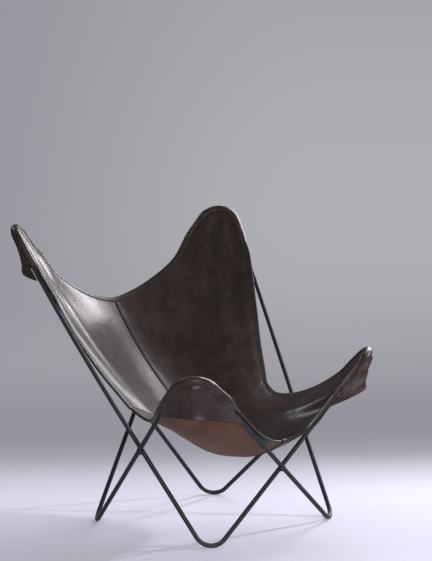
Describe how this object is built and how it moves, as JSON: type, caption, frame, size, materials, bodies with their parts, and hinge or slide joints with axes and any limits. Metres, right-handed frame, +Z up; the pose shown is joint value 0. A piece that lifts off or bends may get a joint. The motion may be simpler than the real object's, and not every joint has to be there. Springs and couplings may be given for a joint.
{
  "type": "butterfly sling chair",
  "caption": "Low lounge chair with a leather sling hung by corner pockets from two crossed loops of bent steel rod.",
  "frame": {"origin": "on the floor under the middle of the chair's overall box", "axes": "+Z up, -Y towards the front, +X towards the sitter's left"},
  "size_m": [0.891, 0.787, 0.8814],
  "materials": {
    "steel": "satin black powder coat",
    "leather": "smooth dark brown, waxed sheen",
    "pocket_leather": "dark brown, warmer outer face",
    "binding": "rolled edge, satin",
    "seam_strip": "matte flesh side"
  },
  "bodies": {
    "root": {"outer_front_rod": "steel", "outer_rear_rod": "steel", "inner_front_rod": "steel", "inner_rear_rod": "steel", "front_weld": "steel", "rear_weld": "steel", "left_weld": "steel", "right_weld": "steel", "seat_panel_left": "leather", "back_panel_left": "leather", "seat_panel_right": "leather", "back_panel_right": "leather", "back_left_pocket_rim": "pocket_leather", "back_left_pocket_flap": "pocket_leather", "front_left_pocket_rim": "pocket_leather", "front_left_pocket_flap": "pocket_leather", "back_right_pocket_rim": "pocket_leather", "back_right_pocket_flap": "pocket_leather", "front_right_pocket_rim": "pocket_leather", "front_right_pocket_flap": "pocket_leather", "back_edge_binding": "binding", "front_edge_binding": "binding", "left_edge_binding": "binding", "right_edge_binding": "binding", "centre_seam_strip": "seam_strip", "left_seam_strip": "seam_strip", "right_seam_strip": "seam_strip"}
  },
  "joints": []
}
